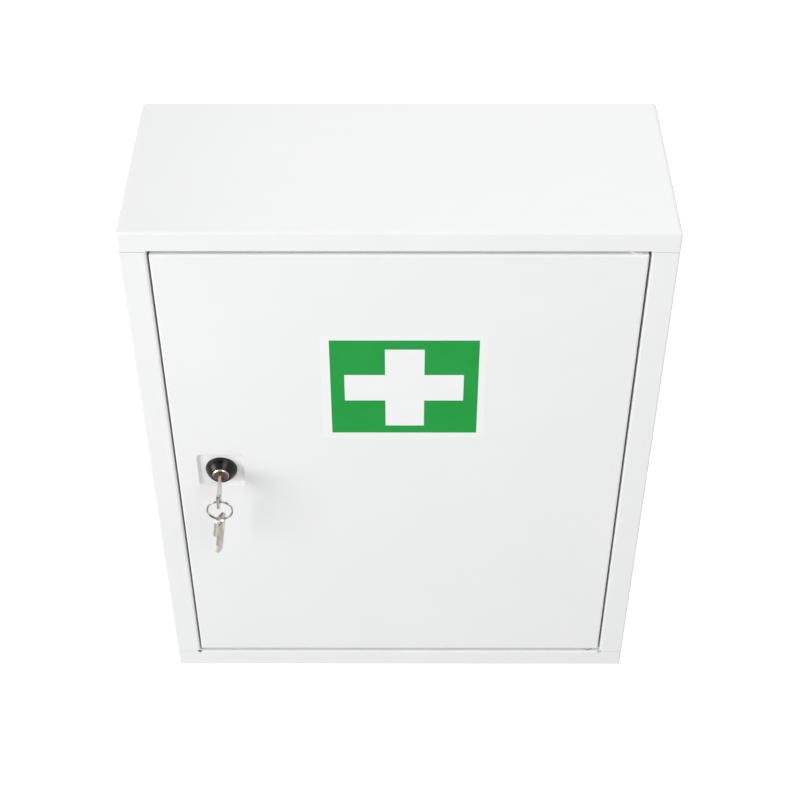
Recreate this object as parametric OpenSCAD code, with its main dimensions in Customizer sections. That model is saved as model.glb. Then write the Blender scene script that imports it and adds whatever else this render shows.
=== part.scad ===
// Lockable medicine cabinet in folded sheet steel, with an inset door on pin pivots, a quarter-turn cam lock
// and two adjustable shelves. Origin: middle of the underside. +X right, +Y back, +Z up, the door faces -Y.

/* [Casing] */
// Overall width
body_w = 360; // [300:1:480]
// Overall depth
body_d = 150; // [130:1:240]
// Overall height
body_h = 440; // [380:1:600]
// Thickness of the sheet steel
sheet_t = 1; // [0.8:0.1:1.2]
// Inner radius of every folded edge
fold_r = 0.5; // [0.3:0.1:1]
// Inner radius of the four long corners of the casing
corner_r = 1.5; // [1:0.1:3]

/* [Front frame] */
// How far the front frame wraps back round the sides, the top and the bottom
frame_wrap = 3; // [3:0.5:8]
// Width of the side flanges
side_flange_w = 18; // [15:0.5:26]
// Height of the top flange
top_flange_h = 15.5; // [13:0.5:26]
// Height of the bottom flange
bottom_flange_h = 17; // [14:0.5:26]
// Depth of the returns round the opening
return_d = 12; // [11:0.5:16]
// Width of the landing lip behind the lock side of the door
landing_w = 12; // [10:0.5:14]
// Width of the seams between the flanges
seam_w = 0.4; // [0.2:0.1:0.8]
// How far the seams wrap round onto the sides
seam_wrap = 2; // [1.5:0.1:4]
// Radius of the fold reliefs in the lower corners of the opening
relief_r = 1.8; // [1:0.1:2.4]

/* [Back panel] */
// Depth of the back panel's edges
back_edge_d = 4; // [3:0.5:5]
// Diameter of the wall-fixing holes
wall_hole_d = 6.5; // [5:0.1:9]
// Distance between the wall-fixing holes across
wall_hole_span_x = 260; // [200:1:270]
// Distance between the wall-fixing holes up
wall_hole_span_z = 340; // [200:1:350]
// Radius of the shallow dish pressed round each wall-fixing hole
dish_r = 11; // [8:0.5:14]
// Depth of those dishes
dish_d = 1.2; // [0.8:0.1:2]

/* [Door] */
// Gap between the door and the side flanges
gap_side = 1.5; // [1.2:0.1:2.2]
// Gap above the door
gap_top = 2.3; // [2:0.1:3.5]
// Gap below the door
gap_bottom = 3.5; // [2.5:0.1:5]
// Depth of the door's folded edges
door_d = 15; // [13:0.5:18]
// Width of the hems along the door's two long edges
door_hem_w = 10; // [8:0.5:14]
// Width of the stiffener's crown
stiffener_w = 32; // [20:1:60]
// Depth of the stiffener
stiffener_d = 10; // [6:0.5:11]
// Width of each welding flange of the stiffener
stiffener_flange_w = 12; // [8:0.5:18]
// Gap between the stiffener's ends and the door's folded edges
stiffener_end_gap = 4; // [1:0.5:20]

/* [Hinge] */
// Distance from the door's edge to the hinge axis
hinge_inset = 8; // [7:0.1:9]
// Distance from the door's face to the hinge axis
hinge_setback = 5; // [4.8:0.1:5.6]
// Diameter of the hinge pins
pin_d = 4; // [3:0.1:4.4]
// Diameter of the hinge pins' heads
pin_head_d = 7.5; // [6:0.1:8]
// Height of the hinge pins' heads
pin_head_h = 1.6; // [1:0.1:2]
// Wall of the nylon bushes
bush_wall = 1; // [0.8:0.1:1.2]
// Radial width of the bushes' flanges
bush_flange = 1; // [0.6:0.1:1.2]
// Thickness of the bushes' flanges
bush_flange_t = 1; // [0.6:0.1:1.2]
// How far the bushes reach into the door
bush_l = 5; // [3:0.5:8]
// Thickness of the pivot plates
pivot_plate_t = 2; // [1.5:0.1:3]
// Gap between the pivot plates and the rear edge of the frame's returns
pivot_plate_inset = 0.5; // [0.3:0.1:1]
// Length of the pivot plates along the frame
pivot_plate_l = 26; // [18:1:36]

/* [Lock] */
// Distance from the door's free edge to the lock axis
lock_inset = 31.8; // [31:0.1:40]
// Height of the lock axis above the base
lock_z = 226; // [190:1:250]
// Width of the pressed recess round the lock
recess_w = 34; // [32:0.5:38]
// Height of the pressed recess
recess_h = 32; // [30:0.5:38]
// Depth of the pressed recess
recess_d = 2; // [1:0.1:2.5]
// Width of the recess's sloped edge
recess_slope = 2.4; // [1.5:0.1:3]
// Corner radius of the recess
recess_r = 3.5; // [3:0.1:7]
// Corner radius of the recess's floor
recess_floor_r = 2.6; // [2:0.1:5]
// Height of the collar
collar_h = 7.3; // [6:0.1:10]
// Diameter of the collar at the door
collar_d = 22.8; // [21:0.1:24]
// Height of the collar's upright edge at the door
collar_edge_h = 1; // [0.5:0.1:1.5]
// How far the collar's side bulges out from a straight cone
collar_bulge = 0.5; // [0.3:0.1:0.9]
// Diameter of the collar's front rim
collar_rim_d = 14; // [13.6:0.1:16]
// Diameter of the threaded barrel
barrel_d = 18; // [17:0.1:19]
// Distance across the barrel's flats
barrel_flats = 15.6; // [14.5:0.1:16.2]
// Diameter of the plug's front
plug_head_d = 12.2; // [11.8:0.1:12.6]
// Length of the plug's front
plug_head_l = 4; // [3:0.1:4.2]
// Diameter of the plug behind its front
plug_d = 11.2; // [11:0.1:11.6]
// How far the plug's face lies behind the collar's rim
plug_sink = 0.3; // [0.1:0.1:1]
// Distance across the square tail of the plug
tail_w = 7; // [6:0.1:7.4]
// Thickness of the lock's washer
lock_washer_t = 1; // [0.8:0.1:1.5]
// Diameter of the lock's washer
lock_washer_d = 23; // [21:0.5:24]
// Distance across the flats of the lock's nut
nut_flats = 22; // [21:0.5:24]
// Thickness of the lock's nut
nut_t = 3.5; // [2.5:0.1:5]
// Thickness of the quarter-turn stop washer
stop_t = 1.5; // [1:0.1:2]
// Diameter of the stop washer
stop_d = 17.4; // [16.8:0.1:18]
// Depth of the stop washer's lug and of the track it runs in
stop_lug_l = 2; // [1.5:0.1:3]
// Gap between the plug and the stop washer's lug
stop_lug_gap = 0.7; // [0.5:0.1:1]
// Angle that the stop lug spans
stop_lug_a = 24; // [16:1:30]
// Thickness of the cam
cam_t = 2.4; // [1.5:0.1:3]
// Width of the cam's arm
cam_w = 14; // [11:0.5:16]
// Gap between the cam and the back of the landing lip
cam_clear = 1.1; // [0.6:0.1:2]
// Gap between the locked cam's tip and the frame return
cam_end_gap = 4.5; // [3:0.5:6]
// Diameter of the cam screw
cam_screw_d = 4; // [3:0.1:4.2]
// Diameter of the cam screw's head
cam_screw_head_d = 9.2; // [8.4:0.1:10]
// Height of the cam screw's head
cam_screw_head_h = 2.4; // [1.8:0.1:3]
// Depth of the cross recess in the cam screw's head
cross_d = 1.4; // [1:0.1:1.6]
// Length of each arm pair of the cross recess
cross_l = 5.4; // [4:0.1:6]
// Width of the cross recess's arms
cross_w = 1; // [0.8:0.1:1.2]
// Solid metal left in the plug between the keyway's end and the cam screw's hole
plug_web = 0.8; // [0.5:0.1:1.5]
// Number of wafers in the plug, and of cuts in a key
wafer_count = 4; // [2:1:4]
// Distance from the plug's front part to the first wafer
wafer_lead = 1; // [0.8:0.1:1.2]
// Thickness of each wafer
wafer_t = 0.9; // [0.8:0.1:1]
// Width of each wafer
wafer_w = 4.4; // [4.2:0.1:4.8]
// Height of each wafer
wafer_h = 9.8; // [9.4:0.1:9.8]

/* [Keys] */
// Thickness of the keys
key_t = 1.8; // [1.6:0.1:2]
// Height of the key's blade
blade_h = 6.8; // [6.4:0.1:7.4]
// Length of the blade that goes into the lock
blade_l = 14; // [13.5:0.5:17]
// Height of the key's bow
bow_h = 12; // [11.4:0.1:14]
// Length of the key's bow
bow_l = 19.8; // [17:0.1:21]
// Corner radius of the bow
bow_r = 4; // [3:0.1:5.5]
// Length between the bow and the lock's face
neck_l = 7.5; // [6:0.1:9]
// Diameter of the hole in the bow
bow_hole_d = 7; // [6.8:0.1:7.4]
// Distance from the end of the bow to the middle of its hole
bow_hole_in = 6.1; // [5.6:0.1:7]
// Depth of the deepest cut in the blade
cut_d = 1.6; // [1:0.1:1.8]
// Width of the flat at the bottom of each cut
cut_flat = 0.6; // [0.4:0.1:0.8]
// Outer diameter of the split ring
ring_d = 19.2; // [19:0.1:21]
// Thickness of the split ring's two turns together, both ways
ring_t = 1.2; // [1:0.1:1.3]
// Rounding of the ring's section
ring_round = 0.35; // [0.2:0.05:0.45]
// Depth of the groove between the ring's two turns
ring_groove = 0.2; // [0.1:0.05:0.25]
// Angle round the ring to the first of its wire ends
ring_end_a = 24; // [10:1:60]
// Angle from there to the other wire end
ring_end_step = 16; // [10:1:40]
// Gap at each wire end
ring_end_gap = 0.5; // [0.3:0.1:0.8]
// Play between the ring and the bow it hangs in
ring_loose = 0.4; // [0.3:0.05:0.5]
// Play between the spare key's hole and the ring
spare_loose = 0.6; // [0.5:0.05:0.8]
// How far round the ring, to the right of its lowest point, the spare key hangs
spare_side = -3; // [-10:1:10]
// How far the spare key leans to the left
spare_lean = 8; // [0:1:9]
// How far the spare key is turned from edge-on
spare_turn = 30; // [20:1:34]

/* [Shelves] */
// Width of a shelf standard
standard_w = 14; // [12:0.5:18]
// How far a standard stands off the wall
standard_d = 5; // [4.5:0.1:6]
// Thickness of the standards' steel
standard_t = 1.2; // [1:0.1:1.5]
// Gap between a standard's ends and the top and bottom of the casing
standard_end_gap = 29; // [20:1:40]
// Distance from the door's hem to the front standards
standard_front_gap = 27; // [25:1:40]
// Distance from the back panel's edges to the rear standards
standard_rear_gap = 6; // [4:1:20]
// Distance from one slot to the next
slot_pitch = 20; // [18:0.5:22]
// Height of a slot
slot_h = 3; // [2.5:0.1:4]
// Width of a slot
slot_w = 9; // [8:0.5:10]
// Slot, counted from the bottom, that carries the lower shelf
lower_slot = 5; // [2:1:7]
// Slot, counted from the bottom, that carries the upper shelf
upper_slot = 12; // [10:1:13]
// How far the clips' hooks reach behind the standards
clip_hook = 1.4; // [1:0.1:1.6]
// Thickness of the shelf clips' steel
clip_t = 1.4; // [1.2:0.1:1.8]
// How far the clips reach under the shelf
clip_reach = 11; // [8:0.5:14]
// Height of the shelves' folded edges
shelf_edge_h = 14; // [10:0.5:16]
// Width of the hems under the shelves' edges
shelf_hem_w = 8; // [6:0.5:12]
// Gap between the back panel's edges and the shelves
shelf_rear_gap = 1; // [0.5:0.1:4]
// Distance from the door's hem to the shelves
shelf_front_gap = 20; // [18:1:36]

/* [Buffers] */
// Diameter of the rubber buffers
buffer_d = 8; // [6:0.5:9]
// Thickness of the rubber buffers
buffer_t = 1.3; // [1:0.1:2.5]
// Distance from each buffer to its end of the opening
buffer_end = 44; // [20:1:80]

/* [Clearances] */
// Radial running clearance between a pin and its bush, or a plug and its housing
run_fit = 0.05; // [0.02:0.01:0.1]
// Radial clearance of what is pressed, riveted or screwed in place
seat_fit = 0.02; // [0.01:0.01:0.05]
// Gap between faces that meet without touching
face_gap = 0.3; // [0.2:0.05:0.4]
// Clearance of the key, wafers and clips in their slots, on each side
slot_fit = 0.1; // [0.05:0.01:0.15]
// End clearance of what turns against a face
end_fit = 0.1; // [0.05:0.01:0.2]

/* [Hidden] */
$fn = 48;
eps = 0.01;      // cutters run past a face by this much or more
past = 1;        // longer run-past of through cuts

coat = [0.93, 0.94, 0.94];
zinc = [0.72, 0.73, 0.74];
nickel = [0.78, 0.75, 0.68];
black = [0.07, 0.07, 0.075];
nylon = [0.90, 0.89, 0.85];
rubber = [0.12, 0.12, 0.12];
brass = [0.78, 0.62, 0.30];

// Front frame, all y values from the front face
front_y = -body_d / 2;
back_y = body_d / 2;
fold_out = fold_r + sheet_t;
corner_out = corner_r + sheet_t;
frame_back_y = front_y + frame_wrap;
open_w = body_w - 2 * side_flange_w;
open_z0 = bottom_flange_h;
open_z1 = body_h - top_flange_h;
open_h = open_z1 - open_z0;

// Door
door_w = open_w - 2 * gap_side;
door_z0 = open_z0 + gap_bottom;
door_z1 = open_z1 - gap_top;
door_h = door_z1 - door_z0;
hinge_x = door_w / 2 - hinge_inset;
hinge_y = front_y + hinge_setback;
landing_y = front_y + door_d + face_gap + buffer_t;
landing_back = landing_y + sheet_t;
bush_bore_d = pin_d + 2 * run_fit;
bush_d = bush_bore_d + 2 * bush_wall;
bush_hole_d = bush_d + 2 * seat_fit;
bush_flange_d = bush_d + 2 * bush_flange;
pin_hole_d = pin_d + 2 * seat_fit;
pivot_plate_w = return_d - fold_out - pivot_plate_inset;

// Lock
lock_x = -door_w / 2 + lock_inset;
seat_y = front_y + recess_d;
face_y = seat_y - collar_h;
plug_face_y = face_y + plug_sink;
cam_y = landing_back + cam_clear;
stop_y = cam_y - stop_t;
barrel_end_y = stop_y - end_fit;
cam_l = lock_inset + gap_side - cam_end_gap;
collar_run = (collar_d - collar_rim_d) / 2;        // the collar's side, seen in section
collar_rise = collar_h - collar_edge_h;
collar_chord = sqrt(collar_run * collar_run + collar_rise * collar_rise);
collar_curve_r = collar_chord * collar_chord / 8 / collar_bulge + collar_bulge / 2;
bore_d = plug_d + 2 * run_fit;
head_bore_d = plug_head_d + 2 * run_fit;
keyway_t = key_t + 2 * slot_fit;
keyway_h = blade_h + 2 * slot_fit;
keyway_end_y = plug_face_y + blade_l + slot_fit;
cam_screw_l = cam_y + cam_t - keyway_end_y - plug_web - face_gap;
wafer_y0 = plug_face_y + plug_head_l + wafer_lead;
wafer_pitch = (blade_l - plug_head_l - wafer_lead - blade_h / 4) / wafer_count;
stop_lug_r0 = bore_d / 2 + stop_lug_gap;
stop_turn = 90;
stop_play = 2;                                  // slack of the lug at each end of its track, degrees

// Keys: each lies in its own plane, blade along +u, and u = 0 lies in the lock's face when the key is home
key_y = plug_face_y;
bow_drop = (bow_h - blade_h) / 2;
hole_u = -(neck_l + bow_l - bow_hole_in);
ring_r = ring_d / 2;
ring_inner = ring_r - ring_t;
ring_rest = bow_hole_d / 2 - ring_loose;               // drop from the hole's middle to the ring's inner top
ring_z = lock_z - bow_drop - ring_rest - ring_inner;
ring_y = key_y + hole_u;
wire_r = ring_r - ring_t / 2;                   // to the middle of the ring's section
wire_x = lock_x + wire_r * sin(spare_side);      // where the spare key hangs
wire_z = ring_z - wire_r * cos(spare_side);
spare_hang = ring_t / 2 + spare_loose;                  // from there up to the top of the spare key's hole

// Shelves
inner_w = body_w - 2 * sheet_t;
standard_z0 = sheet_t + standard_end_gap;
standard_z1 = body_h - sheet_t - standard_end_gap;
standard_x = inner_w / 2 - standard_d;
standard_front_y = front_y + door_d + standard_front_gap + standard_w / 2;
standard_rear_y = back_y - back_edge_d - standard_rear_gap - standard_w / 2;
slot_z0 = standard_z0 + slot_pitch / 2;
slot_count = floor((standard_z1 - slot_z0 - slot_pitch / 4) / slot_pitch) + 1;
shelf_w = 2 * (standard_x - clip_t - face_gap);
shelf_y0 = front_y + door_d + shelf_front_gap;
shelf_y1 = back_y - back_edge_d - shelf_rear_gap;
shelf_l = shelf_y1 - shelf_y0;
slot_last = slot_count - 2;

function slot_z(i) = slot_z0 + min(i, slot_last) * slot_pitch;
function shelf_seat_z(i) = slot_z(i) - slot_h / 2 + slot_fit + clip_t;

// ---- Shapes that several pieces share ----

// Moves a 2D shape drawn in x and z into place and thickens it toward +y, from y0 to y1
module slab_y(y0, y1) {
    translate([0, y1, 0]) rotate([90, 0, 0]) linear_extrude(y1 - y0) children();
}

// A cylinder along y
module rod_y(d, y0, y1) {
    translate([0, y0, 0]) rotate([-90, 0, 0]) cylinder(d = d, h = y1 - y0);
}

module rounded_rect(w, h, r) {
    square([w - 2 * r, h], center = true);
    square([w, h - 2 * r], center = true);
    for (sx = [-1, 1], sy = [-1, 1]) translate([sx * (w / 2 - r), sy * (h / 2 - r)]) circle(r);
}

// Section of a tray: flat side on y = 0 with two folded corners of radius r, open side at y = d
module fold_section(w, d, r) {
    translate([-w / 2 + r, 0]) square([w - 2 * r, d]);
    translate([-w / 2, r]) square([w, d - r]);
    for (s = [-1, 1]) translate([s * (w / 2 - r), r]) circle(r);
}

// A block with its face on z = 0, four folded edges round that face and four rounded upright corners
module folded_block(w, l, d, fold, corner) {
    intersection() {
        linear_extrude(d) rounded_rect(w, l, corner);
        translate([0, l / 2, 0]) rotate([90, 0, 0]) linear_extrude(l) fold_section(w, d, fold);
        translate([-w / 2, 0, 0]) rotate([90, 0, 90]) linear_extrude(w) fold_section(l, d, fold);
    }
}

// A tray of folded sheet, face on z = 0. hem_x and hem_y are the widths left closed along its far side
module tray(w, l, d, corner, hem_x, hem_y) {
    t = sheet_t;
    mouth_w = w - 2 * max(hem_x, t);
    mouth_l = l - 2 * max(hem_y, t);
    floor_d = (hem_x > t || hem_y > t) ? d - t : d + past;
    difference() {
        folded_block(w, l, d, fold_out, corner);
        translate([0, 0, t]) folded_block(w - 2 * t, l - 2 * t, floor_d - t, fold_r, max(corner - t, 0.3));
        translate([-mouth_w / 2, -mouth_l / 2, d / 2]) cube([mouth_w, mouth_l, d]);
    }
}

// Cutter that rounds the sharp edge along +x at the origin, where the sheet lies toward +y and +z
module edge_cutter(len, r) {
    difference() {
        translate([0, -eps, -eps]) cube([len, r + eps, r + eps]);
        translate([-past, r, r]) rotate([0, 90, 0]) cylinder(r = r, h = len + 2 * past);
    }
}

// ---- Casing and front frame ----

module frame_returns() {
    t = sheet_t;
    for (z = [open_z0 - t, open_z1])
        translate([-open_w / 2 - t, front_y, z]) cube([open_w + 2 * t, return_d, t]);
    translate([open_w / 2, front_y, open_z0 - t]) cube([t, return_d, open_h + 2 * t]);
    // the lock side reaches further back and ends in the landing lip
    translate([-open_w / 2 - t, front_y, open_z0 - t]) cube([t, landing_back - front_y, open_h + 2 * t]);
    translate([-open_w / 2 - t, landing_y, open_z0 - t]) cube([landing_w + t, t, open_h + 2 * t]);
}

module opening_folds() {
    translate([-open_w / 2, front_y, open_z1]) edge_cutter(open_w, fold_out);
    translate([-open_w / 2, front_y, open_z0]) mirror([0, 0, 1]) edge_cutter(open_w, fold_out);
    for (s = [-1, 1]) scale([s, 1, 1])
        translate([open_w / 2, front_y, open_z1]) rotate([0, 90, 0]) edge_cutter(open_h, fold_out);
}

module flange_seams() {
    for (s = [0, 1], z = [open_z1 - seam_w, open_z0]) mirror([s, 0, 0])
        translate([open_w / 2, front_y - past, z])
            cube([side_flange_w + past, past + seam_wrap, seam_w]);
}

// Top, bottom and sides, from the front frame back
module casing() color(coat) translate([0, 0, body_h / 2]) difference() {
    slab_y(frame_back_y, back_y) rounded_rect(body_w, body_h, corner_out);
    slab_y(frame_back_y - past, back_y + past) rounded_rect(inner_w, body_h - 2 * sheet_t, corner_r);
}

module front_frame() color(coat) {
    t = sheet_t;
    difference() {
        union() {
            difference() {
                translate([0, front_y, body_h / 2]) rotate([-90, 0, 0])
                    folded_block(body_w, body_h, frame_wrap, fold_out, corner_out);
                translate([0, front_y + t, body_h / 2]) rotate([-90, 0, 0])
                    folded_block(inner_w, body_h - 2 * t, frame_wrap, fold_r, corner_r);
            }
            frame_returns();
        }
        translate([-open_w / 2, front_y - past, open_z0]) cube([open_w, past + landing_y - front_y, open_h]);
        opening_folds();
        flange_seams();
        for (s = [-1, 1]) translate([s * open_w / 2, 0, open_z0])
            rod_y(2 * relief_r, front_y - past, front_y + fold_out);
        translate([hinge_x, hinge_y, 0]) {
            translate([0, 0, open_z0 - t - past]) cylinder(d = pin_hole_d, h = t + 2 * past);
            translate([0, 0, open_z1 - past]) cylinder(d = pin_hole_d, h = t + 2 * past);
        }
    }
}

module back_panel() color(coat) difference() {
    union() {
        translate([0, back_y, body_h / 2]) rotate([90, 0, 0])
            tray(inner_w, body_h - 2 * sheet_t, back_edge_d, corner_out, 0, 0);
        wall_holes() rod_y(2 * dish_r, back_y - dish_d - sheet_t, back_y);
    }
    wall_holes() {
        rod_y(2 * (dish_r - sheet_t), back_y - dish_d, back_y + past);
        rod_y(wall_hole_d, back_y - dish_d - sheet_t - past, back_y + past);
    }
}

module wall_holes() {
    for (sx = [-1, 1], sz = [-1, 1])
        translate([sx * wall_hole_span_x / 2, 0, body_h / 2 + sz * wall_hole_span_z / 2]) children();
}

// ---- Hinge ----

// Everything on the hinge is drawn from its own seat upward; the upper one is the same shape turned over
module pivot_plate() color(coat) difference() {
    translate([-pivot_plate_l / 2, fold_out - hinge_setback, 0])
        cube([pivot_plate_l, pivot_plate_w, pivot_plate_t]);
    translate([0, 0, -past]) cylinder(d = pin_hole_d, h = pivot_plate_t + 2 * past);
}

module hinge_pin(reach) color(zinc) {
    cylinder(d = pin_head_d, h = pin_head_h);
    translate([0, 0, pin_head_h]) cylinder(d = pin_d, h = reach - pin_d / 4);
    translate([0, 0, pin_head_h + reach - pin_d / 4]) cylinder(d1 = pin_d, d2 = pin_d / 2, h = pin_d / 4);
}

module hinge_bush() color(nylon) difference() {
    union() {
        translate([0, 0, -bush_flange_t]) cylinder(d = bush_flange_d, h = bush_flange_t);
        cylinder(d = bush_d, h = bush_l);
    }
    translate([0, 0, -bush_flange_t - past]) cylinder(d = bush_bore_d, h = bush_l + bush_flange_t + 2 * past);
}

module at_hinge(z) {
    translate([hinge_x, hinge_y, z]) children();
}

// a pin runs from its head, through plate, frame and gap, to the far end of its bush
lower_pin_reach = pivot_plate_t + sheet_t + gap_bottom + bush_l;
upper_pin_reach = pivot_plate_t + sheet_t + gap_top + bush_l;

module lower_pivot_plate() at_hinge(open_z0 - sheet_t - pivot_plate_t) pivot_plate();
module upper_pivot_plate() at_hinge(open_z1 + sheet_t) pivot_plate();
module lower_hinge_pin() at_hinge(open_z0 - sheet_t - pivot_plate_t - pin_head_h) hinge_pin(lower_pin_reach);
module upper_hinge_pin() at_hinge(open_z1 + sheet_t + pivot_plate_t + pin_head_h)
    mirror([0, 0, 1]) hinge_pin(upper_pin_reach);
module lower_hinge_bush() at_hinge(door_z0) hinge_bush();
module upper_hinge_bush() at_hinge(door_z1) mirror([0, 0, 1]) hinge_bush();

module lower_hinge_washer() color(zinc) at_hinge(open_z0) difference() {
    cylinder(d = bush_flange_d, h = gap_bottom - bush_flange_t - end_fit);
    translate([0, 0, -past]) cylinder(d = pin_hole_d, h = gap_bottom + past);
}

// ---- Shelves ----

module standard(sx, y) color(coat) {
    len = standard_z1 - standard_z0;
    scale([sx, 1, 1]) translate([standard_x, y, standard_z0]) difference() {
        translate([0, -standard_w / 2, 0]) cube([standard_d, standard_w, len]);
        translate([standard_t, -standard_w / 2 + standard_t, -past])
            cube([standard_d, standard_w - 2 * standard_t, len + 2 * past]);
        for (i = [0 : slot_count - 1])
            translate([-past, -slot_w / 2, slot_z(i) - standard_z0 - slot_h / 2])
                cube([standard_t + 2 * past, slot_w, slot_h]);
    }
}

module left_front_standard() standard(-1, standard_front_y);
module left_rear_standard() standard(-1, standard_rear_y);
module right_front_standard() standard(1, standard_front_y);
module right_rear_standard() standard(1, standard_rear_y);

// A clip hooks into two slots, one above the other, and carries the shelf on its ledge
module clip() {
    w = slot_w - 2 * slot_fit;
    low = -slot_h / 2 + slot_fit;
    high = slot_pitch + low;
    tab = standard_t + clip_hook;
    translate([-clip_t, -w / 2, low]) cube([clip_t, w, high - low + clip_t]);
    translate([-clip_t - clip_reach, -w / 2, low]) cube([clip_reach + clip_t + tab, w, clip_t]);
    translate([-clip_t, -w / 2, high]) cube([clip_t + tab, w, clip_t]);
}

module shelf_clips(slot) color(zinc) {
    for (sx = [-1, 1], y = [standard_front_y, standard_rear_y])
        scale([sx, 1, 1]) translate([standard_x, y, slot_z(slot)]) clip();
}

module shelf(slot) color(coat)
    translate([0, shelf_y0 + shelf_l / 2, shelf_seat_z(slot) + shelf_edge_h]) rotate([180, 0, 0])
        tray(shelf_w, shelf_l, shelf_edge_h, corner_out, shelf_hem_w, shelf_hem_w);

module lower_shelf() shelf(lower_slot);
module upper_shelf() shelf(upper_slot);
module lower_shelf_clips() shelf_clips(lower_slot);
module upper_shelf_clips() shelf_clips(upper_slot);

module door_buffers() color(rubber)
    for (z = [open_z0 + buffer_end, open_z1 - buffer_end])
        translate([-open_w / 2 + landing_w / 2, 0, z]) rod_y(buffer_d, landing_y - buffer_t, landing_y);

// ---- Door ----

// Pressed recess, drawn from the lock axis; grow widens it for the sheet on its inner side
module recess(grow, depth) hull() {
    slab_y(-eps, 0) rounded_rect(recess_w + 2 * grow, recess_h + 2 * grow, recess_r + grow, $fn = 32);
    slab_y(depth - eps, depth)
        rounded_rect(recess_w - 2 * recess_slope + 2 * grow, recess_h - 2 * recess_slope + 2 * grow,
                     recess_floor_r + grow, $fn = 32);
}

module at_lock(y) {
    translate([lock_x, y, lock_z]) children();
}

// Outline of the barrel with its two flats, widened by fit all round
module barrel_outline(fit) {
    intersection() {
        circle(d = barrel_d + 2 * fit);
        square([barrel_flats + 2 * fit, barrel_d + 2 * fit + past], center = true);
    }
}

module door_panel() color(coat) difference() {
    union() {
        translate([0, front_y, (door_z0 + door_z1) / 2]) rotate([-90, 0, 0])
            tray(door_w, door_h, door_d, fold_out, door_hem_w, 0);
        at_lock(front_y + sheet_t / 2) recess(sheet_t / 2, recess_d + sheet_t / 2);
    }
    at_lock(front_y) recess(0, recess_d);
    at_lock(0) slab_y(seat_y - past, seat_y + sheet_t + past) barrel_outline(slot_fit);
    at_hinge(door_z0 - past) cylinder(d = bush_hole_d, h = sheet_t + 2 * past);
    at_hinge(door_z1 - sheet_t - past) cylinder(d = bush_hole_d, h = sheet_t + 2 * past);
}

module door_stiffener() color(coat) {
    t = sheet_t;
    z0 = door_z0 + t + stiffener_end_gap;
    crown = stiffener_w / 2;
    translate([0, front_y + t, z0]) linear_extrude(door_h - 2 * (t + stiffener_end_gap)) {
        for (s = [-1, 1]) scale([s, 1]) {
            translate([crown - t, 0]) square([stiffener_flange_w + t, t]);
            translate([crown - t, 0]) square([t, stiffener_d]);
        }
        translate([-crown, stiffener_d - t]) square([stiffener_w, t]);
    }
}

// ---- Lock ----

// Collar section in r and h: h runs from the door out, and the side is an arc between its edge and its rim
module collar_section() intersection() {
    square([collar_d / 2, collar_h]);
    translate([collar_d / 2 - collar_run / 2, collar_h - collar_rise / 2]
              - (collar_curve_r - collar_bulge) / collar_chord * [collar_rise, collar_run])
        circle(r = collar_curve_r, $fn = 180);
}

module lock_housing() color(black) at_lock(0) difference() {
    union() {
        translate([0, seat_y, 0]) rotate([90, 0, 0]) rotate_extrude() collar_section();
        slab_y(seat_y - eps, barrel_end_y) barrel_outline(0);
    }
    rod_y(head_bore_d, face_y - past, plug_face_y + plug_head_l + end_fit);
    rod_y(bore_d, face_y, barrel_end_y + past);
    stop_track();
}

// The track spans a quarter turn, from the lug's rest on the left to the top, plus the lug's own width
module stop_track() {
    sweep = stop_turn + stop_lug_a + 2 * stop_play;
    translate([0, barrel_end_y + past, 0]) rotate([90, 0, 0])
        rotate([0, 0, 180 + stop_play + stop_lug_a / 2 - sweep])
            rotate_extrude(angle = sweep) square([barrel_d, stop_lug_l + end_fit + past]);
}

module lock_washer() color(zinc) at_lock(0) difference() {
    rod_y(lock_washer_d, seat_y + sheet_t, seat_y + sheet_t + lock_washer_t);
    slab_y(seat_y, seat_y + sheet_t + lock_washer_t + past) barrel_outline(slot_fit);
}

module lock_nut() color(zinc) at_lock(0) {
    y0 = seat_y + sheet_t + lock_washer_t;
    difference() {
        slab_y(y0, y0 + nut_t) circle(d = nut_flats / cos(30), $fn = 6);
        rod_y(barrel_d + 2 * seat_fit, y0 - past, y0 + nut_t + past);
    }
}

module wafer_places() {
    for (i = [0 : wafer_count - 1]) translate([0, wafer_y0 + i * wafer_pitch, 0]) children();
}

module lock_plug() color(nickel) at_lock(0) difference() {
    union() {
        rod_y(plug_head_d, plug_face_y, plug_face_y + plug_head_l);
        rod_y(plug_d, plug_face_y, stop_y);
        slab_y(stop_y - eps, cam_y + cam_t) square(tail_w, center = true);
    }
    slab_y(plug_face_y - past, keyway_end_y) square([keyway_t, keyway_h], center = true);
    wafer_places() slab_y(-slot_fit, wafer_t + slot_fit)
        square([wafer_w + 2 * slot_fit, wafer_h + 2 * slot_fit], center = true);
    rod_y(cam_screw_d + 2 * seat_fit, keyway_end_y + plug_web, cam_y + cam_t + past);
}

module lock_wafers() color(brass) at_lock(0) wafer_places() slab_y(0, wafer_t) difference() {
    square([wafer_w, wafer_h], center = true);
    square([keyway_t, keyway_h], center = true);
}

module stop_washer() color(zinc) at_lock(0) {
    difference() {
        union() {
            rod_y(stop_d, stop_y, cam_y);
            translate([0, stop_y + eps, 0]) rotate([90, 0, 0]) rotate([0, 0, 180 - stop_lug_a / 2])
                rotate_extrude(angle = stop_lug_a) translate([stop_lug_r0, 0])
                    square([stop_d / 2 - stop_lug_r0, stop_lug_l]);
        }
        slab_y(stop_y - past, cam_y + past) square(tail_w + 2 * seat_fit, center = true);
    }
}

module cam() color(zinc) at_lock(0) slab_y(cam_y, cam_y + cam_t) difference() {
    union() {
        circle(d = stop_d);
        translate([-cam_w / 2, -cam_l + cam_w / 4]) square([cam_w, cam_l - cam_w / 4]);
        translate([0, -cam_l + cam_w / 4]) rounded_rect(cam_w, cam_w / 2, cam_w / 5);
    }
    square(tail_w + 2 * seat_fit, center = true);
}

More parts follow.
